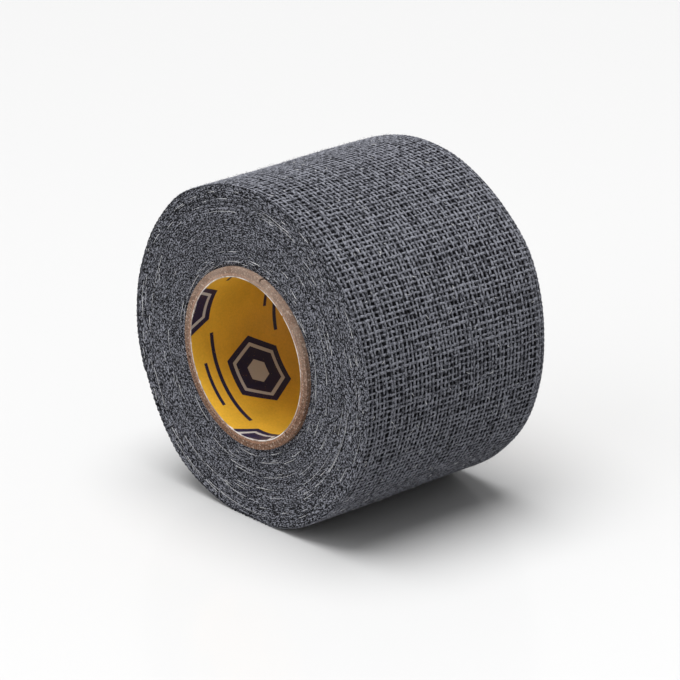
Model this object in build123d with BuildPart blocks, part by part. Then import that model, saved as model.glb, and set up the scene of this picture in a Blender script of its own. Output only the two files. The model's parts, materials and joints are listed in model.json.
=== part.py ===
from build123d import *

import os
from math import cos, pi, radians, sin, sqrt

# A roll of stretchy open-weave cloth tape, wound on a paperboard core and lying on its curved side.
# Millimetres. +Z is up and the core's axis runs along Y, with the front end face at -Y.
# The origin is on the resting surface, straight below the core's axis and half way along it.
# Angles are seen from the front, counter-clockwise from +X towards +Z.

# ---- the core ----
core_bore_radius = 12.7
liner_thickness = 0.15
ply_thickness = 0.45
seam_gap = 0.3
core_proud = 0.6

# ---- the strip of tape ----
tape_width = 38.1
tape_thickness = 0.32
lap_gap = 0.033
half_turns = 70
rim_rounding = 3.2

# ---- the free tail, which peels off the lap below ----
tail_end_angle = 200
tail_arc = 50
tail_lift = 0.1
tail_root_gap = 0.05

# ---- where the soft roll is pressed flat by its own weight ----
flat_half_width = 3.4

# ---- sizes that follow from those above ----
ply_names = ["core_inner_ply", "core_middle_ply", "core_outer_ply"]
seam_angles = [315, 195, 75]
liner_seam_angle = 47
core_outer_radius = core_bore_radius + liner_thickness + len(ply_names) * ply_thickness
core_length = tape_width + 2 * core_proud

# Each half turn of the strip is an arc. Arcs on one side of the roll are centred a quarter of a lap
# to that side, so every arc runs on smoothly from the last and each lap clears the one below.
lap_pitch = tape_thickness + lap_gap
half_thickness = tape_thickness / 2
centre_shift = lap_pitch / 4
innermost_radius = core_outer_radius + lap_gap + centre_shift + half_thickness
outermost_radius = innermost_radius + (half_turns - 1) * lap_pitch / 2
outer_radius = outermost_radius + centre_shift + half_thickness

bottom_angle = 270
laps_from_tail_to_bottom = (tail_end_angle - bottom_angle) % 360 / 360
bottom_radius = outer_radius - laps_from_tail_to_bottom * lap_pitch
axis_height = sqrt(bottom_radius**2 - flat_half_width**2)

# The strip's profile is drawn on the back end face, with x pointing at the tail's cut end.
tail_direction = radians(tail_end_angle)
winding_plane = Plane(
    origin=(0, tape_width / 2, axis_height),
    x_dir=(cos(tail_direction), 0, sin(tail_direction)),
    z_dir=(0, -1, 0),
)
roll_axis = Axis((0, 0, axis_height), (0, 1, 0))


def arc_centre(half_turn):
    """Centre of a half turn's arc. Half turns are counted inwards from the tail's cut end."""
    side = 1 if half_turn % 2 == 0 else -1
    return (side * centre_shift, 0)


def on_arc(centre, radius, angle):
    """A point at an angle in degrees on a circle."""
    turn = radians(angle)
    return (centre[0] + radius * cos(turn), centre[1] + radius * sin(turn))


def arc_radius(half_turn):
    """Radius of the middle of the strip's thickness in one half turn."""
    return outermost_radius - half_turn * lap_pitch / 2


def once_round(half_turn, angle, offset):
    """Arcs along one face of the strip, going inwards for a whole turn from an angle in a half turn."""
    arcs = []
    last_angle = angle - 360
    while angle > last_angle:
        next_angle = max(-180 * (half_turn + 1), last_angle)
        arcs.append((arc_centre(half_turn), arc_radius(half_turn) + offset, angle, next_angle - angle))
        angle = next_angle
        half_turn += 1
    return arcs


def paper_tube(label, inner_radius, thickness, seam_angle):
    """One sheet rolled once round, whose two edges leave a narrow straight seam."""
    outer = inner_radius + thickness
    end_plane = Plane(origin=(0, core_length / 2, axis_height), x_dir=(1, 0, 0), z_dir=(0, -1, 0))
    with BuildPart() as tube:
        with BuildSketch(end_plane):
            Circle(outer)
            Circle(inner_radius, mode=Mode.SUBTRACT)
            with PolarLocations(inner_radius + thickness / 2, 1, start_angle=seam_angle):
                Rectangle(4 * thickness, seam_gap, mode=Mode.SUBTRACT)
        extrude(amount=core_length)
    tube.part.label = label
    return tube.part


def rim_cutter(surface_radius):
    """A ring that rounds over the back rim of a round surface."""
    with BuildPart() as cutter:
        with BuildSketch(Plane.YZ):
            with Locations((tape_width / 2 - rim_rounding, axis_height + surface_radius - rim_rounding)):
                Rectangle(2 * rim_rounding, 2 * rim_rounding, align=(Align.MIN, Align.MIN))
                Circle(rim_rounding, mode=Mode.SUBTRACT)
        revolve(axis=roll_axis)
    return cutter.part


# ---- the core: a printed paper lining and the plies round it, glued face to face ----
pieces = [paper_tube("printed_liner", core_bore_radius, liner_thickness, liner_seam_angle)]
for number, ply_name in enumerate(ply_names):
    ply_inner_radius = core_bore_radius + liner_thickness + number * ply_thickness
    pieces.append(paper_tube(ply_name, ply_inner_radius, ply_thickness, seam_angles[number]))

# ---- the strip: wound from the core outwards, up to the line where its tail comes free ----
# The laps cling to each other, so they make one solid between the innermost and outermost faces.
# Each of those faces ends in a step as high as one lap.
outer_face = once_round(0, -tail_arc, half_thickness)
inner_face = once_round(half_turns - 2, -180 * (half_turns - 2), -half_thickness)

with BuildPart() as tape_winding:
    with BuildSketch(winding_plane):
        for wound_face, mode in ((outer_face, Mode.ADD), (inner_face, Mode.SUBTRACT)):
            with BuildLine():
                for centre, radius, start_angle, arc_size in wound_face:
                    CenterArc(centre, radius, start_angle, arc_size)
                first_centre, first_radius, first_angle, _ = wound_face[0]
                last_centre, last_radius, _, _ = wound_face[-1]
                Line(
                    on_arc(last_centre, last_radius, first_angle),
                    on_arc(first_centre, first_radius, first_angle),
                )
            make_face(mode=mode)
    extrude(amount=tape_width)
    # the back rim is rounded over, where the outer laps have drawn in
    add(rim_cutter(outer_radius), mode=Mode.SUBTRACT)
    # the outermost lap is pressed flat where the roll rests
    split(bisect_by=Plane.XY, keep=Keep.TOP)
tape_winding.part.label = "tape_winding"
pieces.append(tape_winding.part)

# ---- the tail: the last stretch of the same strip, lying just clear of the lap below ----
tail_centre = arc_centre(0)
tail_radius = outermost_radius + tail_lift
tail_root_angle = -tail_arc + tail_root_gap / tail_radius * 180 / pi

with BuildPart() as tape_tail:
    with BuildSketch(winding_plane):
        with BuildLine():
            CenterArc(tail_centre, tail_radius + half_thickness, tail_root_angle, -tail_root_angle)
            CenterArc(tail_centre, tail_radius - half_thickness, tail_root_angle, -tail_root_angle)
            for end_angle in (tail_root_angle, 0):
                Line(
                    on_arc(tail_centre, tail_radius - half_thickness, end_angle),
                    on_arc(tail_centre, tail_radius + half_thickness, end_angle),
                )
        make_face()
    extrude(amount=tape_width)
    add(rim_cutter(outer_radius + tail_lift), mode=Mode.SUBTRACT)
tape_tail.part.label = "tape_tail"
pieces.append(tape_tail.part)

os.makedirs("parts", exist_ok=True)
for piece in pieces:
    export_step(piece, f"parts/{piece.label}.step")

# ---- sizes for the maker ----
strip_length = sum(pi * arc_radius(half_turn) for half_turn in range(half_turns))
tail_root = on_arc(tail_centre, tail_radius + half_thickness, -tail_arc)
hinge = winding_plane.from_local_coords((*tail_root, 0))
print(f"axis height {axis_height:.3f}, outer radius {outer_radius:.3f}, core radius {core_outer_radius:.3f}")
print(f"strip length {strip_length:.0f}, laps {half_turns / 2}, core length {core_length:.2f}")
print(f"tail hinge at x {hinge.X:.4f}, z {hinge.Z:.4f}")
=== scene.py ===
import json
import math

import bpy
import numpy as np
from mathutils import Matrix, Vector


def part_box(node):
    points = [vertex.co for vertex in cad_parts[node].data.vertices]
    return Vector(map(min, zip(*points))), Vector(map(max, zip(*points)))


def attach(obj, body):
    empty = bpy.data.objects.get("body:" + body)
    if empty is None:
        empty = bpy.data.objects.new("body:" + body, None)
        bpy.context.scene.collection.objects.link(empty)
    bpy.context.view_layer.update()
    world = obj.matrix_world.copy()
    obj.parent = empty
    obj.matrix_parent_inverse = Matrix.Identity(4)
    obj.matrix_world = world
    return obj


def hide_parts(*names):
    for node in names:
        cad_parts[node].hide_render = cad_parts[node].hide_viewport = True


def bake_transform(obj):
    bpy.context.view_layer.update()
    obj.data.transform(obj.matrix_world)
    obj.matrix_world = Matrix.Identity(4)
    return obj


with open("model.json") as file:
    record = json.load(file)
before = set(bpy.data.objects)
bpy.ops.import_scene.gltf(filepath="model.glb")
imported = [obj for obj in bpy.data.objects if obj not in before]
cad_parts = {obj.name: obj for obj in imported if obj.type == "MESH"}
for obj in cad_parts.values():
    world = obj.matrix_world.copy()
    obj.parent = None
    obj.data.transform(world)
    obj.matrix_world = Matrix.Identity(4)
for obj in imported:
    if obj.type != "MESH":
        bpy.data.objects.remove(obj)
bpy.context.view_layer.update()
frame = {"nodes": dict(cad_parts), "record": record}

bl_info = {
    "name": "Cloth Tape Roll",
    "version": (1, 0, 0),
    "blender": (4, 5, 0),
    "location": "View3D > Sidebar > Tape Roll",
    "description": "Dresses a roll of open-weave cloth grip tape on its paper core",
    "category": "Object",
}

# ---- places read from the frame ----
MOUNTS = {mount["name"]: mount for mount in frame["record"]["mounts"]}
HINGE = next(j for j in frame["record"]["behaviour"]["joints"] if j["name"] == "tail_peel")
AXIS_HEIGHT = MOUNTS["core_bore"]["pos_m"][2]
BORE_RADIUS = MOUNTS["core_bore"]["dims"]["r_mm"] / 1000
CORE_HALF = MOUNTS["core_bore"]["dims"]["length_mm"] / 2000
CORE_RADIUS = (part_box("core_outer_ply")[1][0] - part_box("core_outer_ply")[0][0]) / 2
CLOTH_HALF = (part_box("tape_winding")[1][1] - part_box("tape_winding")[0][1]) / 2
HINGE_X = HINGE["pos_m"][0]
HINGE_Z = HINGE["pos_m"][2] - AXIS_HEIGHT
HINGE_ANGLE = math.atan2(HINGE_Z, HINGE_X)
HINGE_RADIUS = math.hypot(HINGE_X, HINGE_Z)

MM = 0.001
TURN = 2 * math.pi


# =====================================================================================
# Sizes and colours that a user would change
# =====================================================================================


class TapeRollSizes(bpy.types.PropertyGroup):
    lap_pitch: bpy.props.FloatProperty(
        name="Lap pitch",
        description="How far the roll grows with each lap",
        default=0.353 * MM,
        unit="LENGTH",
        precision=5,
    )
    tail_angle: bpy.props.FloatProperty(
        name="Tail angle",
        description="How much of a turn the free tail covers",
        default=math.radians(50),
        subtype="ANGLE",
    )
    tail_lift: bpy.props.FloatProperty(
        name="Tail lift",
        description="How far the tail lies clear of the lap below",
        default=0.1 * MM,
        unit="LENGTH",
        precision=5,
    )
    warp_count: bpy.props.IntProperty(
        name="Warp ends",
        description="Yarns that run along the strip, counted across its width",
        default=50,
    )
    weft_width: bpy.props.FloatProperty(
        name="Weft width", description="Width of a weft yarn", default=0.37 * MM, unit="LENGTH", precision=5
    )
    warp_width: bpy.props.FloatProperty(
        name="Warp width", description="Width of a warp yarn", default=0.40 * MM, unit="LENGTH", precision=5
    )
    yarn_depth: bpy.props.FloatProperty(
        name="Yarn depth",
        description="Thickness of a flattened yarn",
        default=0.17 * MM,
        unit="LENGTH",
        precision=5,
    )
    rim_rounding: bpy.props.FloatProperty(
        name="Back rim rounding",
        description="Radius of the rounded rim at the back of the roll",
        default=3.2 * MM,
        unit="LENGTH",
        precision=5,
    )
    front_rounding: bpy.props.FloatProperty(
        name="Front rim rounding",
        description="Radius of the slightly softened rim at the front of the roll",
        default=0.5 * MM,
        unit="LENGTH",
        precision=5,
    )
    face_hairs: bpy.props.IntProperty(
        name="Face hairs", description="Cut yarn ends that stand out of each end face", default=1500
    )
    pale_fibres: bpy.props.IntProperty(
        name="Pale fibres", description="Loose pale fibres lying along the laps of an end face", default=230
    )
    cloth_fuzz: bpy.props.IntProperty(
        name="Cloth fuzz", description="Fine fibres that stand off the outer cloth", default=3600
    )
    tail_fuzz: bpy.props.IntProperty(
        name="Tail fuzz", description="Fine fibres that stand off the tail", default=900
    )
    lint: bpy.props.IntProperty(
        name="Lint", description="Short pale lint that clings to the outer cloth", default=260
    )
    seed: bpy.props.IntProperty(name="Seed", description="Start of the random draws", default=7)


def colour(name, description, value):
    return bpy.props.FloatVectorProperty(
        name=name, description=description, default=value, subtype="COLOR", size=3, min=0, max=1
    )


class TapeRollColours(bpy.types.PropertyGroup):
    yarn: colour("Yarn", "Dark grey cloth yarn", (0.066, 0.068, 0.082))
    # The worn colour is partly pale worn fibre and partly painted highlight; the deep colour is painted
    # shadow.
    yarn_light: colour("Worn yarn", "Yarn where the fibres catch the light", (0.235, 0.241, 0.276))
    yarn_in_shadow: colour("Deep yarn", "Yarn down between the laps", (0.0020, 0.0020, 0.0026))
    fibre: colour("Loose fibre", "Pale loose fibre", (0.74, 0.74, 0.75))
    kraft: colour("Kraft board", "Raw brown board", (0.205, 0.112, 0.072))
    kraft_light: colour("Torn board", "Pale torn board fibre", (0.56, 0.45, 0.37))
    paper: colour("Golden paper", "Printed golden lining", (0.80, 0.455, 0.040))
    bare_paper: colour("Bare paper", "Unprinted white paper at the lining's cut edge", (0.72, 0.69, 0.66))
    ink: colour("Ink", "Navy ink of the plain print", (0.012, 0.011, 0.050))
    pale_line: colour("Pale line", "Pale lines inside each printed hexagon", (0.50, 0.48, 0.47))


# =====================================================================================
# The roll's shape
# =====================================================================================


def sizes():
    return bpy.context.scene.tape_roll_sizes


def colours():
    return bpy.context.scene.tape_roll_colours


def wound_radius(angle):
    """Outer radius of the strip at an angle, which grows by one lap pitch in each turn up to the hinge."""
    return HINGE_RADIUS - sizes().tail_lift + sizes().lap_pitch * (angle - HINGE_ANGLE) / TURN


# The sine of the angle below level from which a direction meets the floor soon enough to count.
BELOW = 0.5
FAR_OFF = 1.0


def resting_limit(angle):
    """Distance from the axis to the surface that the roll lies on, which is far off except below."""
    down = -np.sin(angle)
    return np.where(down > BELOW, AXIS_HEIGHT / np.maximum(down, BELOW), FAR_OFF)


# Where the roll was wound unevenly: each bulge's angle, its place across the strip, how far round and
# how far across it reaches, and its height.
BULGES = (
    (math.radians(128), -19.0 * MM, math.radians(9), 4 * MM, 0.22 * MM),
    (math.radians(232), -19.0 * MM, math.radians(18), 13 * MM, 0.74 * MM),
    (math.radians(32), 19.0 * MM, math.radians(16), 12 * MM, 0.55 * MM),
    (math.radians(330), 19.0 * MM, math.radians(14), 12 * MM, 0.22 * MM),
)
SLACK = 0.20 * MM
WRINKLE_HEIGHT = 0.05 * MM
# Each set of wrinkles: waves round the roll, slant across it in radians per metre, phase and share.
WRINKLES = ((3, 90, 0.0, 1.0), (7, -160, 1.0, 0.7), (5, 240, 2.2, 0.6), (17, -110, 0.0, 0.4))


def unevenness(along, across):
    """How the wound roll bulges and sinks, in metres, the same for every yarn that passes a place."""
    wrinkles = 0
    for waves, slant, phase, share in WRINKLES:
        wrinkles = wrinkles + share * np.sin(waves * along + slant * across + phase)
    rise = SLACK + WRINKLE_HEIGHT * wrinkles
    for angle, place, round_spread, across_spread, height in BULGES:
        turned = (along - angle + math.pi) % TURN - math.pi
        off = (turned / round_spread) ** 2 + ((across - place) / across_spread) ** 2
        rise = rise + height * np.exp(-off)
    return rise


def smooth_noise(rng, count, waves):
    """A closed curve of random waves, count samples round, whose highest point is one unit from level."""
    around = np.linspace(0, TURN, count, endpoint=False)
    total = np.zeros(count)
    for wave in range(1, waves + 1):
        total += rng.normal() * np.cos(wave * around + rng.uniform(0, TURN)) / math.sqrt(wave)
    return total / max(np.abs(total).max(), 1e-9)


def mesh_piece(name, points, faces, shades):
    """A smooth mesh object from points and quads, with its place in its mesh and a shade for each point."""
    mesh = bpy.data.meshes.new(name)
    mesh.vertices.add(len(points))
    mesh.vertices.foreach_set("co", np.asarray(points, np.float32).ravel())
    faces = np.asarray(faces, np.int32)
    mesh.loops.add(faces.size)
    mesh.loops.foreach_set("vertex_index", faces.ravel())
    mesh.polygons.add(len(faces))
    mesh.polygons.foreach_set("loop_start", np.arange(0, faces.size, faces.shape[1], dtype=np.int32))
    mesh.polygons.foreach_set("use_smooth", np.ones(len(faces), bool))
    mesh.update(calc_edges=True)
    shade = mesh.attributes.new("shade", "FLOAT", "POINT")
    shade.data.foreach_set("value", np.asarray(shades, np.float32))
    mesh.validate()
    piece = bpy.data.objects.new(name, mesh)
    bpy.context.scene.collection.objects.link(piece)
    return piece


# How close two points are merged, on the laps and on the yarns.
LAP_WELD = 2e-7
YARN_WELD = 1e-9


def tidy_mesh(piece, distance):
    """Merges doubled points, drops flat faces and turns every face outwards."""
    bpy.ops.object.select_all(action="DESELECT")
    piece.select_set(True)
    bpy.context.view_layer.objects.active = piece
    bpy.ops.object.mode_set(mode="EDIT")
    bpy.ops.mesh.select_all(action="SELECT")
    bpy.ops.mesh.remove_doubles(threshold=distance)
    bpy.ops.mesh.dissolve_degenerate(threshold=distance)
    bpy.ops.mesh.select_all(action="SELECT")
    bpy.ops.mesh.normals_make_consistent(inside=False)
    bpy.ops.object.mode_set(mode="OBJECT")
    piece.select_set(False)


# =====================================================================================
# Materials
# =====================================================================================


class Nodes:
    """A short way to lay out one material's nodes."""

    def __init__(self, name):
        self.material = bpy.data.materials.new(name)
        self.material.use_nodes = True
        self.tree = self.material.node_tree
        self.shader = self.tree.nodes["Principled BSDF"]

    def add(self, kind, **settings):
        node = self.tree.nodes.new(kind)
        for key, value in settings.items():
            setattr(node, key, value)
        return node

    def link(self, out, into):
        self.tree.links.new(out, into)

    def place(self):
        """Where a point is, in metres in the part's frame."""
        return self.add("ShaderNodeTexCoord").outputs["Object"]

    def shade(self):
        """The shade that each point of the mesh carries."""
        return self.add("ShaderNodeAttribute", attribute_name="shade").outputs["Fac"]

    def parts(self, vector):
        """A vector's X, Y and Z."""
        node = self.add("ShaderNodeSeparateXYZ")
        self.link(vector, node.inputs[0])
        return node.outputs

    def joined(self, parts):
        """A vector from its three parts."""
        node = self.add("ShaderNodeCombineXYZ")
        for socket, value in zip(node.inputs, parts):
            self.link(value, socket)
        return node.outputs[0]

    def maths(self, operation, first, second=0.0, clamp=False):
        node = self.add("ShaderNodeMath", operation=operation, use_clamp=clamp)
        for socket, value in zip(node.inputs, (first, second)):
            if isinstance(value, (int, float)):
                socket.default_value = value
            else:
                self.link(value, socket)
        return node.outputs[0]

    def noise(self, vector, scale, detail=3.0, roughness=0.55):
        node = self.add("ShaderNodeTexNoise")
        self.link(vector, node.inputs["Vector"])
        node.inputs["Scale"].default_value = scale
        node.inputs["Detail"].default_value = detail
        node.inputs["Roughness"].default_value = roughness
        return node.outputs["Fac"]

    def stretched(self, vector, scale):
        node = self.add("ShaderNodeMapping")
        self.link(vector, node.inputs["Vector"])
        node.inputs["Scale"].default_value = scale
        return node.outputs["Vector"]

    def ramp(self, value, stops):
        node = self.add("ShaderNodeValToRGB")
        points = node.color_ramp.elements
        points[0].position, points[0].color = stops[0][0], (*stops[0][1], 1)
        points[1].position, points[1].color = stops[-1][0], (*stops[-1][1], 1)
        for position, shade in stops[1:-1]:
            points.new(position).color = (*shade, 1)
        self.link(value, node.inputs["Fac"])
        return node.outputs["Color"]

    def mix(self, factor, first, second):
        """Two colours mixed by a factor. Sockets 6 and 7 are the node's colours, and 2 its mixed colour."""
        node = self.add("ShaderNodeMix", data_type="RGBA")
        for socket, value in ((node.inputs[0], factor), (node.inputs[6], first), (node.inputs[7], second)):
            if isinstance(value, tuple):
                socket.default_value = (*value, 1)
            elif isinstance(value, (int, float)):
                socket.default_value = value
            else:
                self.link(value, socket)
        return node.outputs[2]

    def bump(self, height, strength, distance):
        node = self.add("ShaderNodeBump")
        node.inputs["Strength"].default_value = strength
        node.inputs["Distance"].default_value = distance
        self.link(height, node.inputs["Height"])
        self.link(node.outputs["Normal"], self.shader.inputs["Normal"])

    def finish(self, base, roughness, sheen=0.0, specular=0.3):
        self.link(base, self.shader.inputs["Base Color"])
        self.shader.inputs["Roughness"].default_value = roughness
        self.shader.inputs["Sheen Weight"].default_value = sheen
        self.shader.inputs["Specular IOR Level"].default_value = specular
        return self.material


def scaled(shade, factor=1.0):
    """A colour made darker or lighter."""
    return tuple(min(c * factor, 1.0) for c in shade)


# ---- scales of the grain, in noise cells per metre ----
FIBRE_GRAIN = 5600
DYE_GRAIN = 420
CUT_END_GRAIN = 5400
CUT_FIBRE_GRAIN = 7000
FACE_PATCH_GRAIN = 300
DEEP_THREAD_GRAIN = 2600
LOOSE_FIBRE_GRAIN = 2500
BOARD_FIBRE_GRAIN = 5200
BOARD_BLOTCH_GRAIN = 420
BOARD_FLECK_GRAIN = 2600
PAPER_GRAIN = 3000
PAPER_CLOUD_GRAIN = 140
INK_WEAR_GRAIN = 6500
TORN_EDGE_GRAIN = 170

# ---- tones of the yarn's painted shadow, of its body colour, and of its pale colour, worn fibre and painted highlight ----
SHADOW_TONE = 0.04
BODY_TONE = 0.50
WORN_AND_LIT_TONE = 1.0

# The pale colour on the cut ends of the yarns, worn fibre and painted highlight, against that on the outer
# cloth.
CUT_END_WEAR_AND_LIGHT = 1.15
# How far the cut ends' grain keeps its size along the laps at the core; it is drawn out by the rest.
GRAIN_ALONG = 0.75


def yarn_ramp(n, tone, wear_and_light=1.0):
    """Colours of the yarn, from painted shadow in the depth of the weave to its pale crests, worn fibre with
    a painted highlight.
    """
    shadowed = (SHADOW_TONE, scaled(colours().yarn_in_shadow))
    body = (BODY_TONE, scaled(colours().yarn))
    worn_and_lit = (WORN_AND_LIT_TONE, scaled(colours().yarn_light, wear_and_light))
    return n.ramp(tone, [shadowed, body, worn_and_lit])


def grained_tone(n, grains, level):
    """The shade that the mesh carries, with its painted shade and highlights, broken up by grain: each grain
    is a noise and how strongly it counts.
    """
    total = None
    for noise, strength in grains:
        part = n.maths("MULTIPLY", noise, strength)
        total = part if total is None else n.maths("ADD", total, part)
    return n.maths("MULTIPLY", n.shade(), n.maths("SUBTRACT", total, level))


def cloth_material(name):
    """Matted cotton yarn: fine fibre streaks, uneven dye, and a soft sheen from the loose fibres."""
    n = Nodes(name)
    place = n.place()
    fine = n.noise(place, FIBRE_GRAIN, detail=1.5, roughness=0.6)
    uneven = n.noise(place, DYE_GRAIN, detail=3.0)
    tone = grained_tone(n, ((fine, 3.2), (uneven, 0.2)), level=0.72)
    n.bump(fine, strength=0.8, distance=0.06 * MM)
    return n.finish(yarn_ramp(n, tone), roughness=0.93, sheen=0.10, specular=0.10)


def cut_edge_material(name):
    """Cut yarn ends pressed side by side: a tight grain, drawn out along the laps, most near the rim."""
    n = Nodes(name)
    place = n.place()
    x, y, z = n.parts(place)
    up = n.maths("SUBTRACT", z, AXIS_HEIGHT)
    radius = n.maths("SQRT", n.maths("ADD", n.maths("POWER", x, 2), n.maths("POWER", up, 2)))
    along = n.maths("MULTIPLY", n.maths("ARCTAN2", up, x), GRAIN_ALONG * CORE_RADIUS)
    grain = n.noise(n.joined((radius, along, y)), CUT_END_GRAIN, detail=0.5, roughness=0.5)
    fine = n.noise(place, CUT_FIBRE_GRAIN, detail=0.0)
    patches = n.noise(place, FACE_PATCH_GRAIN, detail=2.0)
    tone = grained_tone(n, ((grain, 6.0), (fine, 3.8), (patches, 0.3)), level=4.44)
    n.bump(grain, strength=1.0, distance=0.16 * MM)
    return n.finish(yarn_ramp(n, tone, CUT_END_WEAR_AND_LIGHT), roughness=0.95, sheen=0.07, specular=0.06)


def lap_below_in_shadow_material(name):
    """The lap below the outer cloth, given painted shadow: the yarn's colour darkened nearly to black, as in
    the dark of the weave.
    """
    n = Nodes(name)
    threads = n.noise(n.place(), DEEP_THREAD_GRAIN, detail=2.0, roughness=0.7)
    base = n.ramp(threads, [(0.42, scaled(colours().yarn_in_shadow)), (0.80, scaled(colours().yarn, 0.42))])
    n.bump(threads, strength=0.6, distance=0.10 * MM)
    return n.finish(base, roughness=0.97, specular=0.02)


def fibre_material(name, shade_from, shade_to):
    """Loose fibres whose colour changes from place to place between two shades."""
    n = Nodes(name)
    tone = n.noise(n.place(), LOOSE_FIBRE_GRAIN, detail=1.0)
    base = n.ramp(tone, [(0.3, shade_from), (0.7, shade_to)])
    return n.finish(base, roughness=0.8, sheen=0.2, specular=0.15)


# ---- the raw board of the core ----
BOARD_DARK = 0.30
BOARD_PALE = 1.60
BOARD_BLOTCH = 0.62
FLECK_THRESHOLD = 0.55
FLECK_SHARPNESS = 6.0
TOP_PALENESS_SHARE = 0.9


def kraft_material(name, tint):
    """Raw board: brown fibres, pale torn flecks, the pale fibre colour blended in more towards the top, and
    a soft uneven tone.
    """
    n = Nodes(name)
    place = n.place()
    kraft, pale_fibre = colours().kraft, scaled(colours().kraft_light)
    fibres = n.noise(n.stretched(place, (1.0, 0.35, 1.0)), BOARD_FIBRE_GRAIN, detail=3.0, roughness=0.7)
    blotch = n.noise(place, BOARD_BLOTCH_GRAIN, detail=2.0)
    flecks = n.noise(place, BOARD_FLECK_GRAIN, detail=2.0, roughness=0.8)
    dark, pale = scaled(kraft, BOARD_DARK * tint), scaled(kraft, BOARD_PALE * tint)
    base = n.ramp(fibres, [(0.34, dark), (0.66, pale)])
    fleck = n.maths("SUBTRACT", flecks, FLECK_THRESHOLD, clamp=True)
    fleck = n.maths("MULTIPLY", fleck, FLECK_SHARPNESS, clamp=True)
    above = n.maths("SUBTRACT", n.parts(place)["Z"], AXIS_HEIGHT - 0.3 * CORE_RADIUS)
    # the board is made paler towards the top, in blotches
    pale_mix = n.maths("MULTIPLY", n.maths("DIVIDE", above, 2.0 * CORE_RADIUS, clamp=True), TOP_PALENESS_SHARE)
    base = n.mix(n.maths("MULTIPLY", blotch, 0.35), base, scaled(kraft, BOARD_BLOTCH * tint))
    base = n.mix(n.maths("MULTIPLY", pale_mix, blotch), base, pale_fibre)
    base = n.mix(fleck, base, pale_fibre)
    n.bump(fibres, strength=0.6, distance=0.05 * MM)
    return n.finish(base, roughness=0.88, specular=0.18)


# ---- the plain print on the lining: staggered navy hexagons, each with two bars ----
PRINT_COLUMNS = 3
PRINT_ROW_PITCH = 12.7 * MM
PRINT_FIRST_ANGLE = math.radians(218)
PRINT_FIRST_DEPTH = 11.2 * MM
HEXAGON_HALF = 5.0 * MM
HEXAGON_LINE_AT = 0.76
HEXAGON_LINE_HALF = 0.28 * MM
HEXAGON_CENTRE = 0.34
# Each bar's distance from its hexagon's centre, half its length and half its width.
BARS = ((-7.1 * MM, 8.0 * MM, 0.34 * MM), (-9.1 * MM, 3.6 * MM, 0.30 * MM))
# More rows than the core has, added so that no distance is negative where the rows repeat.
ROWS_AHEAD = 9

# ---- the lining's wear ----
INK_THRESHOLD = 0.24
TORN_THRESHOLD = 0.53
TORN_DEPTH = 2.6 * MM
WHITE_EDGE = 0.05 * MM


def printed_hexagons(n, angle, depth, stagger):
    """Where one set of hexagons puts ink, and where it leaves pale lines. stagger is 0 or 1."""
    column_angle = TURN / PRINT_COLUMNS
    turned = n.maths("ADD", angle, TURN * 2 - PRINT_FIRST_ANGLE + column_angle * (0.5 + 0.5 * stagger))
    across = n.maths("SUBTRACT", n.maths("MODULO", turned, column_angle), column_angle / 2)
    across = n.maths("MULTIPLY", across, BORE_RADIUS)
    shifted = n.maths("ADD", depth, PRINT_ROW_PITCH * (ROWS_AHEAD - stagger))
    along = n.maths("SUBTRACT", n.maths("MODULO", shifted, 2 * PRINT_ROW_PITCH), PRINT_ROW_PITCH)
    side = n.maths("ABSOLUTE", across)
    run = n.maths("ABSOLUTE", along)
    slant = math.pi / 6
    slanted = n.maths("ADD", n.maths("MULTIPLY", side, math.cos(slant)), n.maths("MULTIPLY", run, 0.5))
    reach = n.maths("MAXIMUM", run, slanted)
    inked = n.maths("LESS_THAN", reach, HEXAGON_HALF)
    off_line = n.maths("ABSOLUTE", n.maths("SUBTRACT", reach, HEXAGON_LINE_AT * HEXAGON_HALF))
    line = n.maths("LESS_THAN", off_line, HEXAGON_LINE_HALF)
    centre = n.maths("LESS_THAN", reach, HEXAGON_CENTRE * HEXAGON_HALF)
    for offset, half_length, half_width in BARS:
        off_bar = n.maths("ABSOLUTE", n.maths("SUBTRACT", along, offset))
        near = n.maths("LESS_THAN", off_bar, half_width)
        short = n.maths("LESS_THAN", side, half_length)
        inked = n.maths("MAXIMUM", inked, n.maths("MULTIPLY", near, short))
    return inked, n.maths("MAXIMUM", line, centre)


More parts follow.
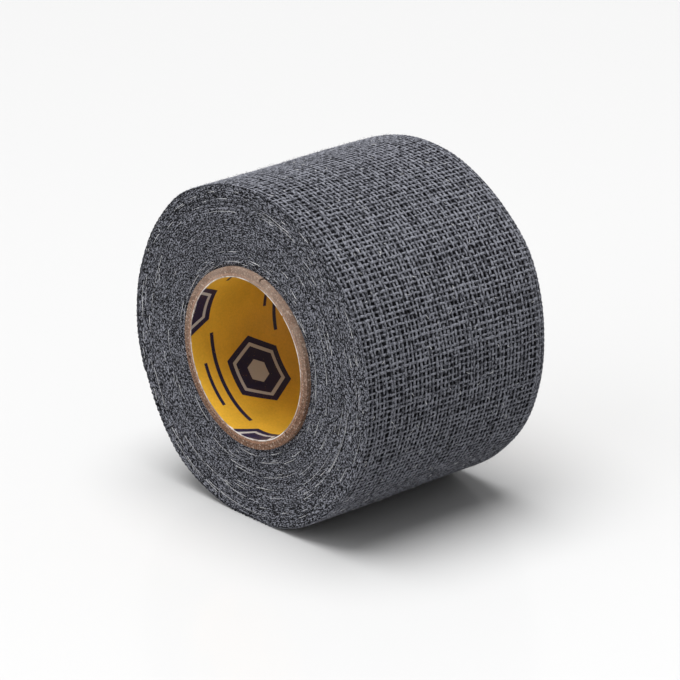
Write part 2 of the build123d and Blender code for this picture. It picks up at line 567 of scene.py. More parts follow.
def print_material(name):
    """Golden paper with a satin coat, the plain navy print round the bore, and torn white ends."""
    n = Nodes(name)
    place = n.place()
    x, y, z = n.parts(place)
    angle = n.maths("ARCTAN2", n.maths("SUBTRACT", z, AXIS_HEIGHT), x)
    depth = n.maths("ADD", y, CORE_HALF - PRINT_FIRST_DEPTH)
    first_ink, first_lines = printed_hexagons(n, angle, depth, 0)
    second_ink, second_lines = printed_hexagons(n, angle, depth, 1)
    ink = n.maths("MAXIMUM", first_ink, second_ink)
    lines = n.maths("MAXIMUM", first_lines, second_lines)
    grain = n.noise(place, PAPER_GRAIN, detail=2.0)
    cloudy = n.noise(place, PAPER_CLOUD_GRAIN, detail=2.0)
    paper = n.ramp(
        n.maths("ADD", n.maths("MULTIPLY", grain, 0.4), n.maths("MULTIPLY", cloudy, 0.6)),
        [(0.35, scaled(colours().paper, 0.84)), (0.65, scaled(colours().paper, 1.08))],
    )
    unworn = n.maths("GREATER_THAN", n.noise(place, INK_WEAR_GRAIN, detail=1.0), INK_THRESHOLD)
    base = n.mix(n.maths("MULTIPLY", ink, unworn), paper, scaled(colours().ink))
    base = n.mix(lines, base, scaled(colours().pale_line))
    pale_mix = n.noise(n.stretched(place, (1.0, 0.0, 1.0)), TORN_EDGE_GRAIN, detail=4.0, roughness=0.75)
    bare = n.maths("MULTIPLY", n.maths("SUBTRACT", pale_mix, TORN_THRESHOLD, clamp=True), TORN_DEPTH)
    inward = n.maths("SUBTRACT", CORE_HALF - WHITE_EDGE, n.maths("ABSOLUTE", y))
    edge = n.ramp(pale_mix, [(0.44, scaled(colours().kraft_light, 0.45)), (0.56, scaled(colours().bare_paper))])
    base = n.mix(n.maths("LESS_THAN", inward, bare), base, edge)
    n.bump(grain, strength=0.12, distance=0.03 * MM)
    return n.finish(base, roughness=0.42, specular=0.42)


# =====================================================================================
# The wound laps, seen on both end faces
# =====================================================================================

RINGS_PER_LAP = 3
SAMPLES_ROUND = 784
WALL_STEPS = 12

# How deep the wound laps end below the outer cloth, in lap pitches.
UNDER_CLOTH = 0.50
# How far the cut edges lie inside the cloth's width.
FACE_INSET = 0.22 * MM
# The share of its rounding by which the rim of each end face, -1 in front and 1 at the back, draws in.
RIM_SHARE = {-1: 0.7, 1: 1.0}

# ---- how the laps' cut edges rise and sink ----
LAP_JITTER = 0.034 * MM
LAP_SWAY = 0.12 * MM
FACE_LEAN = 0.10 * MM
KNOT_HEIGHT = 0.035 * MM
PROUD_HEIGHT = 0.08 * MM
GROOVE_DEPTH = 0.07 * MM
PROUD_SHARE = 0.20

# ---- how many waves round the roll each of these may have ----
SWAY_WAVES = 10
LEAN_WAVES = 6
BAND_WAVES = 9
PROUD_WAVES = 8

# ---- how pale they are: the tone of all of them, and what each kind of place adds, with painted shade in the grooves and a painted highlight on proud stretches ----
EDGE_SHADE = 0.70
KNOT_SHADE = 0.06
SPECK_SHADE = 0.10
BAND_SHADE = 0.08
PROUD_PAINTED_HIGHLIGHT = 0.60
GROOVE_PAINTED_SHADE = 0.30
WALL_SHADE = 0.03
WALL_SPECKS = 0.07
SHADE_RANGE = (0.02, 1.7)


def rim_size(side):
    """How much the rim of an end face is rounded: side is -1 for the front and 1 for the back."""
    return sizes().rim_rounding if side > 0 else sizes().front_rounding


def rim_setback(radius, outer, rounding):
    """How far a fully rounded rim draws in at a radius."""
    drop = np.clip(radius - (outer - rounding), 0, rounding)
    return rounding - np.sqrt(rounding**2 - drop**2)


def lap_shell(angles, across):
    """Radius of the outermost wound lap under the outer cloth."""
    under = UNDER_CLOTH * sizes().lap_pitch
    shell = wound_radius(angles) + unevenness(angles, across) - under
    return np.minimum(shell, resting_limit(angles) - under)


def yarn_knots(rng, rings, soft_round, soft_out):
    """Random knots over an end face, softened a number of times along the laps and across them."""
    knots = rng.normal(size=(rings, SAMPLES_ROUND))
    for _ in range(soft_round):
        knots = 0.5 * knots + 0.25 * np.roll(knots, 1, -1) + 0.25 * np.roll(knots, -1, -1)
    for _ in range(soft_out):
        knots = 0.6 * knots + 0.2 * np.roll(knots, 1, 0) + 0.2 * np.roll(knots, -1, 0)
    return knots / knots.std()


def lap_waves(rng, rings, waves):
    """A smooth wave round each lap, shared by all of its rings."""
    laps = [smooth_noise(rng, SAMPLES_ROUND, waves) for _ in range(rings // RINGS_PER_LAP + 1)]
    return np.repeat(laps, RINGS_PER_LAP, 0)[:rings]


def proud_stretches(rng, rings):
    """Stretches where a ring of yarn stands proud, on a few of the rings."""
    stretches = []
    for _ in range(rings):
        stretch = np.maximum(smooth_noise(rng, SAMPLES_ROUND, PROUD_WAVES), 0)
        stretches.append(stretch * (rng.random() < PROUD_SHARE))
    return np.array(stretches)


def cut_edges(side, rng, angles, shell):
    """Radii, places along the axis and shades of the rings over an end face, from the core outwards."""
    laps = round((shell.mean() - CORE_RADIUS) / sizes().lap_pitch)
    ring = np.arange(-RINGS_PER_LAP, laps * RINGS_PER_LAP + 1)[:, None]
    share = (ring / RINGS_PER_LAP + (angles - angles[0]) / TURN) / laps
    rings = len(ring)
    jitter = LAP_JITTER * yarn_knots(rng, rings, soft_round=2, soft_out=1) / (shell - CORE_RADIUS)
    radii = CORE_RADIUS + (shell - CORE_RADIUS) * np.clip(share + jitter, 0, 1)
    radii = np.maximum.accumulate(radii, axis=0)
    sway = LAP_SWAY * lap_waves(rng, rings, SWAY_WAVES)
    lean = FACE_LEAN * smooth_noise(rng, SAMPLES_ROUND, LEAN_WAVES)
    bands = lap_waves(rng, rings, BAND_WAVES)
    proud = proud_stretches(rng, rings)
    knots = yarn_knots(rng, rings, soft_round=0, soft_out=1)
    specks = yarn_knots(rng, rings, soft_round=0, soft_out=0)
    groove = ring % RINGS_PER_LAP == 0
    heights = sway + lean + KNOT_HEIGHT * knots + PROUD_HEIGHT * proud - GROOVE_DEPTH * groove
    shades = EDGE_SHADE + KNOT_SHADE * knots + SPECK_SHADE * specks + BAND_SHADE * bands
    # painted highlight on the proud stretches, and painted shade in the grooves between the laps
    shades = shades + PROUD_PAINTED_HIGHLIGHT * proud - GROOVE_PAINTED_SHADE * groove
    setback = RIM_SHARE[side] * rim_setback(radii, shell, rim_size(side))
    return radii, side * (CLOTH_HALF - FACE_INSET + heights - setback), shades


def face_laps(name, side, rng, cut_edge, lap_below_in_shadow):
    """Half of the winding, from mid width to one end face, as one closed solid.

    The end face shows each lap's cut edge: knots of yarn with grooves between the laps that painted shade
    makes dark, and now and then a stretch that stands proud with a painted highlight. side is -1 in front
    and 1 at the back."""
    angles = HINGE_ANGLE - TURN + np.linspace(0, TURN, SAMPLES_ROUND, endpoint=False)
    shell = lap_shell(angles, np.full(SAMPLES_ROUND, side * CLOTH_HALF))
    radii, out, shades = cut_edges(side, rng, angles, shell)
    # a wall runs back to mid width under the outer cloth, and a flat ring closes the solid there
    wall_out = out[-1:] * np.linspace(1, 0, WALL_STEPS + 1)[1:, None]
    wall_radii = np.array([lap_shell(angles, row) for row in wall_out])
    # painted shadow: the wall under the outer cloth gets near-black shades
    wall_shades = WALL_SHADE + WALL_SPECKS * np.abs(rng.normal(size=(WALL_STEPS, SAMPLES_ROUND)))
    radii = np.vstack([np.full((1, SAMPLES_ROUND), CORE_RADIUS), radii, wall_radii])
    out = np.vstack([np.zeros((1, SAMPLES_ROUND)), out, wall_out])
    shades = np.clip(np.vstack([shades[:1], shades, wall_shades]), *SHADE_RANGE)
    rings = len(radii)
    points = np.stack([radii * np.cos(angles), out, radii * np.sin(angles) + AXIS_HEIGHT], -1).reshape(-1, 3)
    index = np.arange(rings * SAMPLES_ROUND).reshape(rings, SAMPLES_ROUND)
    faces = []
    for row in range(rings):
        lower, upper = index[row], index[(row + 1) % rings]
        faces.append(np.stack([lower, np.roll(lower, -1), np.roll(upper, -1), upper], -1))
    piece = mesh_piece(name, points, np.vstack(faces), shades.reshape(-1))
    wall_first = (rings - WALL_STEPS - 1) * SAMPLES_ROUND
    slots = (np.arange(len(piece.data.polygons)) >= wall_first).astype(np.int32)
    piece.data.materials.append(cut_edge)
    piece.data.materials.append(lap_below_in_shadow)
    piece.data.polygons.foreach_set("material_index", slots)
    tidy_mesh(piece, LAP_WELD)
    return piece


# =====================================================================================
# The open weave
# =====================================================================================

YARN_SIDES = 6
RINGS_PER_CROSSING = 2
WEFTS_PER_STRETCH = 47
STRETCHES = 4

# ---- how the tail lies on the lap below ----
TAIL_RAMP = math.radians(9)
EDGE_WIDTH = 1.6 * MM
EDGE_DROOP = 0.22 * MM

# ---- how the yarns lie in the cloth's thickness, in yarn depths ----
YARN_MIDDLE = -0.95
YARN_SWING = 0.34

# ---- how far the yarns slip, in shares of the distance to the next yarn ----
DRIFT_ASIDE = 0.10
DRIFT_ALONG = 0.15
WEFT_PHASE = 0.4
WARP_PHASE = 1.3
# Each wave of the drift: how fast it changes round the roll and across it, in radians per millimetre.
DRIFT_WAVES = ((0.62, 0.35), (0.27, -0.80), (1.15, 0.15), (0.10, 1.25))
# A yarn's own offset, and the size of its wandering steps.
WEFT_WANDER = (0.085, 0.022)
WARP_WANDER = (0.05, 0.020)
RING_JITTER = 0.035
# The warps near an edge wander less: the outermost one by this share, and so on for a few yarns.
EDGE_WANDER = 0.3
EDGE_YARNS = 3
# How far, in millimetres, a weft's ends pass the edge, and how far, in wefts, a warp's end frays.
WEFT_END = (-0.12, 0.10)
WARP_FRAY = (0.1, 0.9)

# ---- shades: a yarn's own, the painted light where it lies on top and painted shade where it passes under, the painted light on its outward side and painted shade on its underside, and the range ----
WEFT_SHADE = 0.54
WARP_SHADE = 0.56
OVER_PAINTED_LIGHT_AND_SHADE = 0.27
OUTWARD_PAINTED_LIGHT_AND_SHADE = 0.16
YARN_SHADE_RANGE = (0.03, 1.6)


def drift(along, across, phase):
    """How far the weave has slipped at a place, from -1 to 1: yarns bunch here and open out there."""
    round_mm = along * HINGE_RADIUS / MM
    across_mm = across / MM
    slip = 0
    for number, (round_rate, across_rate) in enumerate(DRIFT_WAVES, 1):
        slip = slip + np.sin(round_rate * round_mm + across_rate * across_mm + number * phase)
    return slip / len(DRIFT_WAVES)


def clear_of_root(along):
    """How fully the tail has come clear of the roll at an angle, from 0 at its root to 1."""
    return np.clip((along - HINGE_ANGLE) / TAIL_RAMP, 0, 1)


def edge_droop(along, across):
    """How far the tail's edges cling to the lap below, where the tail is clear of its root."""
    beyond = np.clip((np.abs(across) - CLOTH_HALF + EDGE_WIDTH) / EDGE_WIDTH, 0, 1)
    return EDGE_DROOP * beyond * clear_of_root(along)


def cloth_place(along, across, height):
    """Points on the strip's outer lap from the angle along it, the distance across it and the height.

    Both edges follow the rounded rims, and the whole lap is pressed flat where it rests."""
    surface = wound_radius(along) + unevenness(along, across) + sizes().tail_lift * clear_of_root(along)
    y, depth, tilt = across, np.zeros_like(across), np.zeros_like(across)
    for side, share in RIM_SHARE.items():
        rounding = rim_size(side)
        straight = CLOTH_HALF - rounding
        beyond = side * across > straight
        bend = np.clip((side * across - straight) / rounding, 0, math.pi / 2)
        y = np.where(beyond, side * (straight + rounding * np.sin(bend)), y)
        depth = np.where(beyond, share * rounding * (1 - np.cos(bend)), depth)
        tilt = np.where(beyond, side * bend, tilt)
    surface = np.minimum(surface - depth - edge_droop(along, across), resting_limit(along))
    radius = surface + height * np.cos(tilt)
    y = y + height * np.sin(tilt)
    return np.stack([radius * np.cos(along), y, radius * np.sin(along) + AXIS_HEIGHT], -1)


def tube_faces(count):
    """Quads of a tube with count rings, and its two closed ends."""
    ring = np.arange(YARN_SIDES)
    following = (ring + 1) % YARN_SIDES
    faces = []
    for step in range(count - 1):
        a, b = step * YARN_SIDES, (step + 1) * YARN_SIDES
        faces.append(np.stack([a + ring, a + following, b + following, b + ring], -1))
    last = (count - 1) * YARN_SIDES
    first_end = [[0, 5, 4, 3], [0, 3, 2, 1]]
    last_end = [[last, last + 1, last + 2, last + 3], [last, last + 3, last + 4, last + 5]]
    return np.vstack([*faces, first_end, last_end])


def yarn_wander(rng, yarns, rings, offset, step):
    """Each yarn's own place and wandering, in shares of the distance to the next yarn.

    Half of the wandering that lasts longer than 9 rings, and then than 31, is taken out again."""
    paths = np.cumsum(rng.normal(size=(yarns, rings)), axis=1) * step
    for window in (9, 31):
        even = np.ones(window) / window
        paths = paths - 0.5 * np.apply_along_axis(lambda path: np.convolve(path, even, "same"), 1, paths)
    return paths + offset * rng.normal(size=(yarns, 1)) + RING_JITTER * rng.normal(size=(yarns, rings))


def yarn_widths(rng, yarns, rings):
    """Thick and thin places along each yarn, as a share of its width."""
    thick_and_thin = 0.06 * rng.normal(size=(yarns, 1)) + 0.20 * rng.normal(size=(yarns, rings))
    return np.clip(1.0 + thick_and_thin, 0.5, 1.7)


def yarn_tones(rng, yarns, rings):
    """How much paler or darker each yarn is, and each place along it."""
    return 0.03 * rng.normal(size=(yarns, 1)) + 0.22 * rng.normal(size=(yarns, rings))


class Weave:
    """The yarns of the whole outer lap and its tail, drawn once so that every stretch joins the next."""

    def __init__(self):
        s = sizes()
        rng = np.random.default_rng(s.seed + 100)
        self.weft_step = TURN / (WEFTS_PER_STRETCH * STRETCHES)
        self.warp_step = 2 * CLOTH_HALF / s.warp_count
        self.first = HINGE_ANGLE - TURN
        self.wefts = WEFTS_PER_STRETCH * STRETCHES + round(s.tail_angle / self.weft_step)
        across = s.warp_count * RINGS_PER_CROSSING + 1
        along = self.wefts * RINGS_PER_CROSSING + 1
        self.weft_slip = yarn_wander(rng, self.wefts, across, *WEFT_WANDER)
        self.warp_slip = yarn_wander(rng, s.warp_count, along, *WARP_WANDER)
        self.weft_wide = yarn_widths(rng, self.wefts, across)
        self.warp_wide = yarn_widths(rng, s.warp_count, along)
        self.weft_tone = yarn_tones(rng, self.wefts, across)
        self.warp_tone = yarn_tones(rng, s.warp_count, along)
        self.ends = rng.uniform(*WEFT_END, (self.wefts, 2)) * MM
        self.frays = rng.uniform(*WARP_FRAY, s.warp_count)

    def weft(self, number, middle):
        """One yarn that runs across the strip, from edge to edge."""
        spots = np.arange(sizes().warp_count * RINGS_PER_CROSSING + 1) / RINGS_PER_CROSSING
        angle = self.first + (number + 0.5) * self.weft_step
        across = -CLOTH_HALF + spots * self.warp_step
        across = across + DRIFT_ALONG * self.warp_step * drift(angle, across, WARP_PHASE)
        across[0] = -CLOTH_HALF - self.ends[number, 0]
        across[-1] = CLOTH_HALF + self.ends[number, 1]
        slip = self.weft_slip[number] + DRIFT_ASIDE * drift(angle, across, WEFT_PHASE)
        over = np.cos(math.pi * (spots - 0.5 + number))
        sway, rise = self.outline(sizes().weft_width * self.weft_wide[number])
        along = (angle + slip * self.weft_step)[:, None] + sway / middle
        # painted light where the weft lies on top and painted shade where it passes under
        tone = WEFT_SHADE + OVER_PAINTED_LIGHT_AND_SHADE * over + self.weft_tone[number]
        return self.yarn(along, across[:, None] + 0 * sway, over, rise, tone)

    def warp(self, number, first_weft, last_weft):
        """One yarn that runs along the strip, from the first weft to the last."""
        rings = slice(first_weft * RINGS_PER_CROSSING, last_weft * RINGS_PER_CROSSING + 1)
        spots = np.arange(rings.start, rings.stop) / RINGS_PER_CROSSING
        along = self.first + spots * self.weft_step
        if last_weft == self.wefts:
            along[-1] += self.frays[number] * self.weft_step
        place = -CLOTH_HALF + (number + 0.5) * self.warp_step
        drifted = drift(along, np.full_like(along, place), WARP_PHASE)
        slip = self.warp_slip[number, rings] + DRIFT_ASIDE * drifted
        inner = min(number, sizes().warp_count - 1 - number) / EDGE_YARNS
        across = place + slip * self.warp_step * min(1.0, EDGE_WANDER + inner)
        over = -np.cos(math.pi * (spots - 0.5 + number))
        along = along + DRIFT_ALONG * self.weft_step * drift(along, across, WEFT_PHASE)
        sway, rise = self.outline(sizes().warp_width * self.warp_wide[number, rings])
        # painted light where the warp lies on top and painted shade where it passes under
        tone = WARP_SHADE + OVER_PAINTED_LIGHT_AND_SHADE * over + self.warp_tone[number, rings]
        return self.yarn(along[:, None] + 0 * sway, across[:, None] + sway, over, rise, tone)

    def outline(self, width):
        """Sideways and upward steps from a yarn's middle to each point of its flattened outline."""
        turn = np.arange(YARN_SIDES) * TURN / YARN_SIDES
        sway = np.cos(turn)[None, :] * width[:, None] / 2
        return sway, np.sin(turn)[None, :] * sizes().yarn_depth / 2

    def yarn(self, along, across, over, rise, tone):
        """A yarn's points and their shades. over is 1 where it lies on top and -1 where it lies below."""
        low, swing = YARN_MIDDLE * sizes().yarn_depth, YARN_SWING * sizes().yarn_depth
        points = cloth_place(along, across, low + swing * over[:, None] + rise).reshape(-1, 3)
        # painted light on the yarn's outward side and painted shade on its underside
        outward = np.tile(np.sin(np.arange(YARN_SIDES) * TURN / YARN_SIDES), len(tone))
        return points, np.clip(np.repeat(tone, YARN_SIDES) + OUTWARD_PAINTED_LIGHT_AND_SHADE * outward, *YARN_SHADE_RANGE)

    def stretch(self, name, first_weft, last_weft):
        """One stretch of the cloth as a piece, with every warp and weft in it, and the stretch's length."""
        middle = wound_radius(self.first + (first_weft + last_weft) / 2 * self.weft_step)
        yarns = [self.weft(number, middle) for number in range(first_weft, last_weft)]
        yarns += [self.warp(number, first_weft, last_weft) for number in range(sizes().warp_count)]
        faces, start = [], 0
        for points, _ in yarns:
            faces.append(tube_faces(len(points) // YARN_SIDES) + start)
            start += len(points)
        points, shades = zip(*yarns)
        piece = mesh_piece(name, np.vstack(points), np.vstack(faces), np.concatenate(shades))
        tidy_mesh(piece, YARN_WELD)
        return piece, (last_weft - first_weft) * self.weft_step * middle


# =====================================================================================
# Loose fibres and cut yarn ends
# =====================================================================================

STRAND_SIDES = 3
STRAND_TAPER = 0.35
# Any direction that no strand runs along, from which each strand's own sides are found.
STRAND_SIDEWAYS = (0.31, 0.77, 0.55)
# How nearly straight down a fibre may point from the axis before it would be under the roll.
UNDER_ROLL = 0.93

# ---- the fibres' sizes in millimetres: a pair is a range, and a spread is that of a normal draw ----
CUT_END_ROOT_DEPTH = 0.42
CUT_END_STAND = (0.22, 0.50)
CUT_END_LEAN_SPREAD = 0.45
CUT_END_SLIDE_SPREAD = 0.15
CUT_END_WIDTH = (0.04, 0.10)
CLEAR_OF_CORE = 0.3
CLEAR_OF_SHELL = 0.2
NEAR_CORE_SPREAD = 1.6
NEAR_RIM_SPREAD = 2.2
PALE_FIBRE_SLANT_SPREAD = 0.03
PALE_FIBRE_WIGGLE_SPREAD = 0.008
PALE_FIBRE_WIDTH = (0.05, 0.10)
PALE_FIBRE_LONGEST = 11.0
LINT_LENGTH = (0.25, 0.9)
LINT_WIDTH = (0.06, 0.12)
FUZZ_ROOT_DEPTH = 0.2
FUZZ_STAND = (0.22, 0.50)
FUZZ_LEAN_SPREAD = 0.4
FUZZ_WIDTH = (0.025, 0.05)

PALE_FIBRE_STEPS = 17
# How far a piece of lint bows out, as a share of its length.
LINT_BOW = 0.12


def strand(path, thickness):
    """Points and faces of a thin three-sided strand along a path, tapered to its end."""
    path = np.asarray(path)
    count = len(path)
    run = np.gradient(path, axis=0)
    run /= np.maximum(np.linalg.norm(run, axis=1), 1e-12)[:, None]
    side = np.cross(run, np.array(STRAND_SIDEWAYS))
    side /= np.maximum(np.linalg.norm(side, axis=1), 1e-12)[:, None]
    top = np.cross(run, side)
    width = thickness / 2 * np.linspace(1.0, STRAND_TAPER, count)
    turn = np.arange(STRAND_SIDES) * TURN / STRAND_SIDES
    ring = side[:, None] * np.cos(turn)[None, :, None] + top[:, None] * np.sin(turn)[None, :, None]
    points = (path[:, None] + ring * width[:, None, None]).reshape(-1, 3)
    faces = []
    for step in range(count - 1):
        for k in range(STRAND_SIDES):
            a, b, following = step * STRAND_SIDES, (step + 1) * STRAND_SIDES, (k + 1) % STRAND_SIDES
            faces.append((a + k, a + following, b + following, b + k))
    last = (count - 1) * STRAND_SIDES
    faces += [(0, 2, 1), (last, last + 1, last + 2)]
    return points, faces


def strands_piece(name, paths, thicknesses):
    """All strands of one kind in one mesh."""
    points, faces, start = [], [], 0
    for path, thickness in zip(paths, thicknesses):
        own_points, own_faces = strand(path, thickness)
        points.append(own_points)
        faces += [tuple(corner + start for corner in face) for face in own_faces]
        start += len(own_points)
    mesh = bpy.data.meshes.new(name)
    mesh.from_pydata(np.vstack(points).tolist(), [], faces)
    mesh.polygons.foreach_set("use_smooth", np.ones(len(mesh.polygons), bool))
    mesh.update()
    piece = bpy.data.objects.new(name, mesh)
    bpy.context.scene.collection.objects.link(piece)
    return piece


def roll_point(radius, angle, y):
    """The point at a distance and an angle from the roll's axis."""
    return (radius * math.cos(angle), y, radius * math.sin(angle) + AXIS_HEIGHT)


def face_hair_paths(side, rng):
    """Short cut yarn ends that stand and curl out of an end face."""
    rounding = rim_size(side)
    paths, widths = [], []
    for _ in range(sizes().face_hairs):
        angle = rng.uniform(0, TURN)
        outer = float(lap_shell(angle - TURN, side * CLOTH_HALF)) - CLEAR_OF_SHELL * MM
        radius = math.sqrt(rng.uniform((CORE_RADIUS + CLEAR_OF_CORE * MM) ** 2, outer**2))
        setback = float(rim_setback(radius, outer, rounding))
        root = side * (CLOTH_HALF - CUT_END_ROOT_DEPTH * MM - setback)
        stand = rng.uniform(*CUT_END_STAND) * MM
        lean = rng.normal() * CUT_END_LEAN_SPREAD * MM
        slide = rng.normal() * CUT_END_SLIDE_SPREAD * MM
        paths.append(
            [
                roll_point(radius, angle, root),
                roll_point(radius + 0.3 * slide, angle + 0.45 * lean / radius, root + side * 0.65 * stand),
                roll_point(radius + slide, angle + lean / radius, root + side * stand),
            ]
        )
        widths.append(rng.uniform(*CUT_END_WIDTH) * MM)
    return paths, widths


def pale_fibre_paths(side, rng):
    """Pale fibres that lie along the laps, near the core, near the rim, or longer ones in between."""
    outer = wound_radius(HINGE_ANGLE - TURN) - rim_size(side)
    paths, widths = [], []
    for number in range(sizes().pale_fibres):
        angle = rng.uniform(0, TURN)
        kind = ("near_core", "near_rim", "between")[number % 3]
        if kind == "near_core":
            radius = CORE_RADIUS + CLEAR_OF_CORE * MM + abs(rng.normal()) * NEAR_CORE_SPREAD * MM
        elif kind == "near_rim":
            radius = outer - abs(rng.normal()) * NEAR_RIM_SPREAD * MM
        else:
            radius = rng.uniform(CORE_RADIUS + 1 * MM, outer)
            angle = rng.normal(-1.1, 1.2)
        radius = min(radius, outer)
        length_power = 1.0 if kind == "between" else 0.0
        length = min(rng.lognormal(length_power, 0.75), PALE_FIBRE_LONGEST) * MM
        slant = rng.normal() * PALE_FIBRE_SLANT_SPREAD * MM
        wiggle = np.cumsum(rng.normal(size=PALE_FIBRE_STEPS)) * PALE_FIBRE_WIGGLE_SPREAD * MM
        path = []
        for step in range(PALE_FIBRE_STEPS):
            share = step / (PALE_FIBRE_STEPS - 1)
            lie = side * (CLOTH_HALF - 0.02 * MM + 0.05 * MM * math.sin(5 * share + number))
            reach = radius + slant * share + wiggle[step]
            path.append(roll_point(reach, angle + length * share / radius, lie))
        paths.append(path)
        widths.append(rng.uniform(*PALE_FIBRE_WIDTH) * MM)
    return paths, widths


def lint_paths(rng):
    """Short pale lint that clings to the outer cloth."""
    paths, widths = [], []
    for _ in range(sizes().lint):
        angle = HINGE_ANGLE - rng.uniform(0.02, 0.90) * TURN
        if -math.sin(angle) > UNDER_ROLL:
            continue
        y = rng.uniform(-CLOTH_HALF + 1 * MM, CLOTH_HALF - sizes().rim_rounding)
        radius = wound_radius(angle) + float(unevenness(angle, y)) + 0.01 * MM
        heading, length = rng.uniform(0, TURN), rng.uniform(*LINT_LENGTH) * MM
        path = []
        for share in (0.0, 0.5, 1.0):
            bow = LINT_BOW * length * math.sin(math.pi * share)
            run = length * share
            step_round, step_across = run * math.cos(heading) - bow, run * math.sin(heading) + bow
            path.append(roll_point(radius, angle + step_round / radius, y + step_across))
        paths.append(path)
        widths.append(rng.uniform(*LINT_WIDTH) * MM)
    return paths, widths


def surface_fuzz_paths(rng, count, first_angle, last_angle, lift):
    """Fine loose fibres that stand off the outer cloth."""
    paths, widths = [], []
    for _ in range(count):
        angle = rng.uniform(first_angle, last_angle)
        if -math.sin(angle) > UNDER_ROLL:
            continue
        y = rng.uniform(-CLOTH_HALF + 0.4 * MM, CLOTH_HALF - 0.8 * sizes().rim_rounding)
        radius = wound_radius(angle) + float(unevenness(angle, y)) + lift - FUZZ_ROOT_DEPTH * MM
        rise = rng.uniform(*FUZZ_STAND) * MM
        slide = rng.normal() * FUZZ_LEAN_SPREAD * MM
        aside = rng.normal() * FUZZ_LEAN_SPREAD * MM
        paths.append(
            [
                roll_point(radius, angle, y),
                roll_point(radius + 0.8 * rise, angle + 0.5 * slide / radius, y + 0.5 * aside),
                roll_point(radius + rise, angle + slide / radius, y + aside),
            ]
        )
        widths.append(rng.uniform(*FUZZ_WIDTH) * MM)
    return paths, widths


# =====================================================================================
# The stage
# =====================================================================================

FLOOR_SIZE = 6.0
FLOOR_SHADE = 0.630
AMBIENT = 0.30
# Each light's name, strength, how wide a patch of sky it fills and the direction that it comes from.
LIGHTS = (
    ("soft_top_light", 3.95, math.radians(50), (-0.04, -0.08, 1.0)),
    ("soft_front_light", 0.85, math.radians(60), (-0.15, -1.0, 0.60)),
)
CAMERA_AZIMUTH = math.radians(48.2)
CAMERA_ELEVATION = math.radians(21.1)
CAMERA_DISTANCE = 0.610
CAMERA_LENS = 209.9
CAMERA_SENSOR = 36.0
AIM_LEFT = 0.31 * MM
AIM_DOWN = 1.86 * MM


def place_floor(context):
    """A wide pale floor with a soft coat, which mirrors the roll faintly."""
    bpy.ops.object.select_all(action="DESELECT")
    bpy.ops.mesh.primitive_plane_add(size=FLOOR_SIZE, location=(0, 0, 0))
    floor = context.active_object
    floor.name = "floor"
    n = Nodes("pale_floor")
    n.shader.inputs["Base Color"].default_value = (FLOOR_SHADE, FLOOR_SHADE, FLOOR_SHADE, 1)
    n.shader.inputs["Roughness"].default_value = 0.60
    n.shader.inputs["Specular IOR Level"].default_value = 0.2
    n.shader.inputs["Coat Weight"].default_value = 0.6
    n.shader.inputs["Coat Roughness"].default_value = 0.14
    floor.data.materials.append(n.material)


def place_sky(context):
    """An even white light from all round."""
    world = bpy.data.worlds.new("soft_sky")
    world.use_nodes = True
    background = world.node_tree.nodes["Background"]
    background.inputs["Color"].default_value = (1, 1, 1, 1)
    background.inputs["Strength"].default_value = AMBIENT
    context.scene.world = world


def place_light(context, name, strength, width, come_from):
    """Points a distant light at the roll."""
    light = bpy.data.lights.new(name, "SUN")
    light.energy = strength
    light.angle = width
    lamp = bpy.data.objects.new(name, light)
    lamp.rotation_euler = (-Vector(come_from)).to_track_quat("-Z", "Y").to_euler()
    context.scene.collection.objects.link(lamp)


def place_camera(context):
    """A long lens from the front right, a little above the roll."""
    back = Vector(
        (
            math.sin(CAMERA_AZIMUTH) * math.cos(CAMERA_ELEVATION),
            -math.cos(CAMERA_AZIMUTH) * math.cos(CAMERA_ELEVATION),
            math.sin(CAMERA_ELEVATION),
        )
    )
    right = Vector((math.cos(CAMERA_AZIMUTH), math.sin(CAMERA_AZIMUTH), 0))
    up = back.cross(right)
    aim = Vector((0, 0, AXIS_HEIGHT)) - right * AIM_LEFT - up * AIM_DOWN
    lens = bpy.data.cameras.new("camera")
    lens.lens = CAMERA_LENS
    lens.sensor_width = CAMERA_SENSOR
    lens.clip_start = 0.01
    lens.clip_end = 20.0
    camera = bpy.data.objects.new("camera", lens)
    camera.location = aim + back * CAMERA_DISTANCE
    camera.rotation_euler = (-back).to_track_quat("-Z", "Y").to_euler()
    context.scene.collection.objects.link(camera)
    context.scene.camera = camera


# =====================================================================================
# Operators, one for each piece or group of like pieces
# =====================================================================================

# How far past its line the tail's fuzz starts, given in two parts that are added together.
PEEL_FOLD = 1.8 * MM
FUZZ_CLEAR = 1.0 * MM


class TAPEROLL_OT_laps(bpy.types.Operator):
    """Makes the wound laps as two closed halves whose end faces show every lap"""

    bl_idname = "taperoll.laps"
    bl_label = "Wound laps"

    def execute(self, context):
        rng = np.random.default_rng(sizes().seed)
        cut_edge, lap_below_in_shadow = cut_edge_material("cut_edge"), lap_below_in_shadow_material("lap_below_in_shadow")
        for name, side in (("wound_laps_front", -1), ("wound_laps_back", 1)):
            piece = face_laps(name, side, rng, cut_edge, lap_below_in_shadow)
            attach(piece, "roll")
            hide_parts("tape_winding")
        return {"FINISHED"}


class TAPEROLL_OT_outer_cloth(bpy.types.Operator):
    """Weaves the outermost lap of the roll, up to the line where the tail comes free"""

    bl_idname = "taperoll.outer_cloth"
    bl_label = "Outer cloth"

    def execute(self, context):
        material = cloth_material("outer_cloth")
        weave = Weave()
        for number in range(STRETCHES):
            wefts = (number * WEFTS_PER_STRETCH, (number + 1) * WEFTS_PER_STRETCH)
            piece, length = weave.stretch(f"outer_cloth_{number + 1}", *wefts)
            piece.data.materials.append(material)
            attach(piece, "roll")
        return {"FINISHED"}


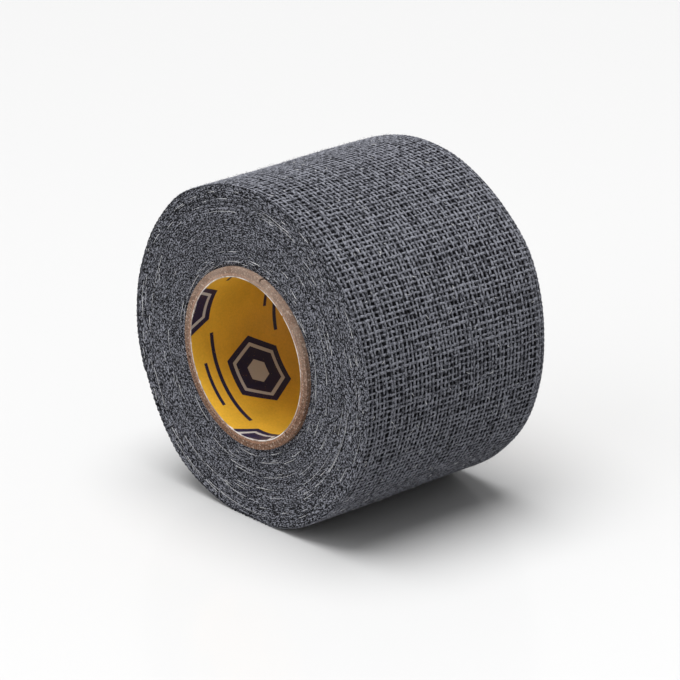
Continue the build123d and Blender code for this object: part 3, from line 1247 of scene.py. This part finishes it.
class TAPEROLL_OT_tail(bpy.types.Operator):
    """Weaves the free tail of the strip, which rises a little off the lap below just past where it leaves
    the roll
    """

    bl_idname = "taperoll.tail"
    bl_label = "Free tail"

    def execute(self, context):
        weave = Weave()
        piece, length = weave.stretch("tail_cloth", WEFTS_PER_STRETCH * STRETCHES, weave.wefts)
        piece.data.materials.append(cloth_material("tail_cloth"))
        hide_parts("tape_tail")
        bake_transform(piece)
        return {"FINISHED"}


class TAPEROLL_OT_fibres(bpy.types.Operator):
    """Adds cut yarn ends, pale loose fibres and the fuzz that stands off the cloth"""

    bl_idname = "taperoll.fibres"
    bl_label = "Loose fibres"

    def execute(self, context):
        c = colours()
        dark = fibre_material("cut_ends", scaled(c.yarn, 0.8), scaled(c.yarn_light, 0.9))
        pale = fibre_material("pale_fibre", scaled(c.fibre, 0.75), scaled(c.fibre, 1.15))
        for side, word in ((-1, "front"), (1, "back")):
            rng = np.random.default_rng(sizes().seed + 400 + side)
            for name, paths, material in (
                (f"cut_ends_{word}", face_hair_paths(side, rng), dark),
                (f"pale_fibres_{word}", pale_fibre_paths(side, rng), pale),
            ):
                piece = strands_piece(name, *paths)
                piece.data.materials.append(material)
                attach(piece, "roll")
        rng = np.random.default_rng(sizes().seed + 500)
        first = HINGE_ANGLE + sizes().tail_angle - TURN
        paths = surface_fuzz_paths(rng, sizes().cloth_fuzz, first, HINGE_ANGLE, 0.0)
        fuzz = strands_piece("cloth_fuzz", *paths)
        fuzz.data.materials.append(dark)
        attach(fuzz, "roll")
        first = HINGE_ANGLE + (PEEL_FOLD + FUZZ_CLEAR) / HINGE_RADIUS
        last = HINGE_ANGLE + sizes().tail_angle
        paths = surface_fuzz_paths(rng, sizes().tail_fuzz, first, last, sizes().tail_lift)
        tail_fuzz = strands_piece("tail_fuzz", *paths)
        tail_fuzz.data.materials.append(dark)
        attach(tail_fuzz, "tail")
        lint = strands_piece("cloth_lint", *lint_paths(rng))
        lint.data.materials.append(pale)
        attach(lint, "roll")
        return {"FINISHED"}


class TAPEROLL_OT_core(bpy.types.Operator):
    """Finishes the paper core: raw board for its plies and the plain print on its lining"""

    bl_idname = "taperoll.core"
    bl_label = "Paper core"

    def execute(self, context):
        finishes = {
            "core_inner_ply": kraft_material("inner_board", 1.35),
            "core_middle_ply": kraft_material("middle_board", 0.75),
            "core_outer_ply": kraft_material("outer_board", 0.85),
            "printed_liner": print_material("printed_paper"),
        }
        for node, material in finishes.items():
            piece = frame["nodes"][node]
            if not piece.material_slots:
                piece.data.materials.append(None)
            for slot in piece.material_slots:
                slot.material = material
        return {"FINISHED"}


class TAPEROLL_OT_stage(bpy.types.Operator):
    """Sets the pale floor, the soft light and the camera"""

    bl_idname = "taperoll.stage"
    bl_label = "Stage"

    def execute(self, context):
        place_floor(context)
        place_sky(context)
        for light in LIGHTS:
            place_light(context, *light)
        context.scene.view_settings.view_transform = "Standard"
        place_camera(context)
        return {"FINISHED"}


class TAPEROLL_PT_panel(bpy.types.Panel):
    """Lists the pieces of the tape roll"""

    bl_idname = "TAPEROLL_PT_panel"
    bl_label = "Tape Roll"
    bl_space_type = "VIEW_3D"
    bl_region_type = "UI"
    bl_category = "Tape Roll"

    def draw(self, context):
        layout = self.layout
        for group in (context.scene.tape_roll_sizes, context.scene.tape_roll_colours):
            for key in group.bl_rna.properties.keys():
                if key not in ("rna_type", "name"):
                    layout.prop(group, key)
        for operator in OPERATORS:
            layout.operator(operator.bl_idname)


OPERATORS = (
    TAPEROLL_OT_stage,
    TAPEROLL_OT_laps,
    TAPEROLL_OT_outer_cloth,
    TAPEROLL_OT_tail,
    TAPEROLL_OT_fibres,
    TAPEROLL_OT_core,
)
CLASSES = (TapeRollSizes, TapeRollColours, *OPERATORS, TAPEROLL_PT_panel)


def register():
    for cls in CLASSES:
        bpy.utils.register_class(cls)
    bpy.types.Scene.tape_roll_sizes = bpy.props.PointerProperty(type=TapeRollSizes)
    bpy.types.Scene.tape_roll_colours = bpy.props.PointerProperty(type=TapeRollColours)


def unregister():
    del bpy.types.Scene.tape_roll_colours
    del bpy.types.Scene.tape_roll_sizes
    for cls in reversed(CLASSES):
        bpy.utils.unregister_class(cls)


def main():
    register()
    for operator in OPERATORS:
        group, word = operator.bl_idname.split(".")
        getattr(getattr(bpy.ops, group), word)()


if __name__ == "__main__":
    main()
